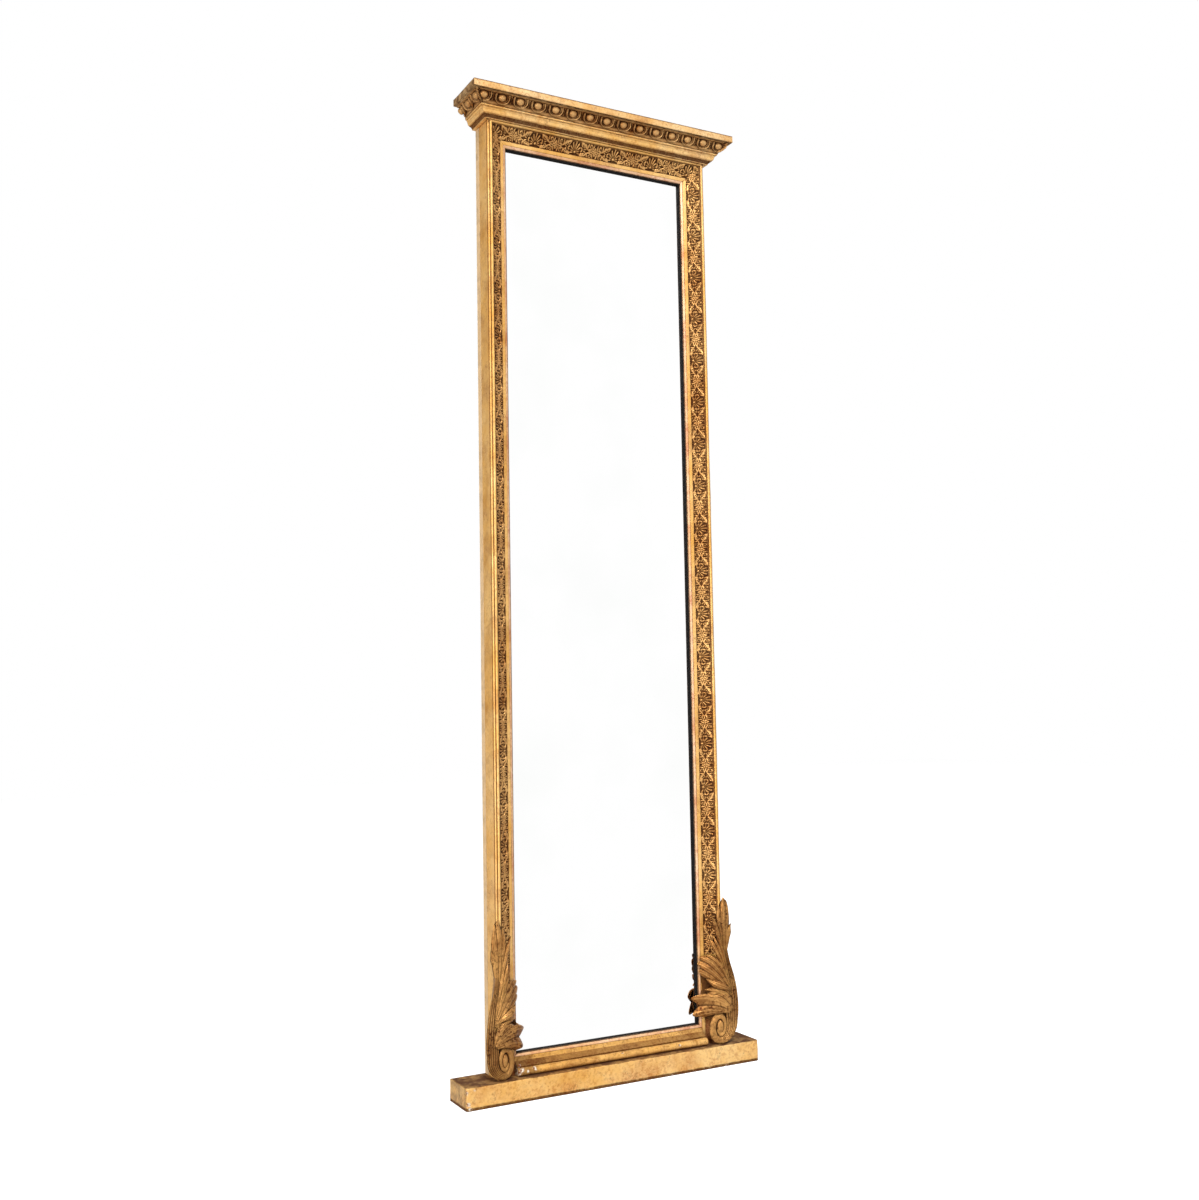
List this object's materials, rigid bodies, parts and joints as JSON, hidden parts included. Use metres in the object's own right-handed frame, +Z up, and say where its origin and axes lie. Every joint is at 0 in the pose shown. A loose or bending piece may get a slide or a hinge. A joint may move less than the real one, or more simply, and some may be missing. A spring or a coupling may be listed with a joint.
{
  "type": "pier mirror",
  "caption": "Tall narrow pier mirror in a moulded gilt frame with composition ornament, an egg-and-dart cornice, carved scroll brackets and a plinth.",
  "frame": {"origin": "centre of the footprint of the whole mirror, at floor level under the plinth", "axes": "+Z up, +X to the right seen from the front, -Y towards the viewer; the flat back against the wall faces +Y"},
  "size_m": [0.61, 0.1, 1.83],
  "materials": {
    "water_gilt": "satin",
    "worn_gilt": "satin",
    "ornament_gilt": "satin",
    "bronze_gilt": "satin",
    "pine": "matte",
    "old_pine": "matte",
    "ebonised_wood": "satin",
    "silvered_glass": "polished",
    "iron": "matte",
    "brass": "satin"
  },
  "bodies": {
    "root": {"plinth_block": "water_gilt", "plinth_screws": "iron", "left_stile_moulding": "water_gilt", "right_stile_moulding": "water_gilt", "top_rail_moulding": "water_gilt", "bottom_rail_moulding": "water_gilt", "mitre_tongues": "pine", "rail_dowels": "pine", "left_back_stile": "old_pine", "right_back_stile": "old_pine", "top_back_rail": "old_pine", "bottom_back_rail": "old_pine", "back_frame_screws": "iron", "left_composition_strip": "ornament_gilt", "right_composition_strip": "ornament_gilt", "top_composition_strip": "ornament_gilt", "left_sight_slip": "worn_gilt", "right_sight_slip": "worn_gilt", "top_sight_slip": "worn_gilt", "bottom_sight_slip": "worn_gilt", "left_black_fillet": "ebonised_wood", "right_black_fillet": "ebonised_wood", "top_black_fillet": "ebonised_wood", "bottom_black_fillet": "ebonised_wood", "mirror_plate": "silvered_glass", "glass_blocks": "pine", "upper_backboard": "old_pine", "middle_backboard": "old_pine", "lower_backboard": "old_pine", "backboard_nails": "iron", "left_scroll_bracket": "bronze_gilt", "right_scroll_bracket": "bronze_gilt", "bracket_pins": "brass", "cornice_core": "pine", "core_screws": "iron", "front_bed_moulding": "water_gilt", "left_bed_moulding": "water_gilt", "right_bed_moulding": "water_gilt", "front_egg_moulding": "ornament_gilt", "left_egg_moulding": "ornament_gilt", "right_egg_moulding": "ornament_gilt", "cornice_cap": "water_gilt", "cap_nails": "iron", "left_hanging_plate": "iron", "right_hanging_plate": "iron", "hanging_plate_screws": "iron"}
  },
  "joints": []
}
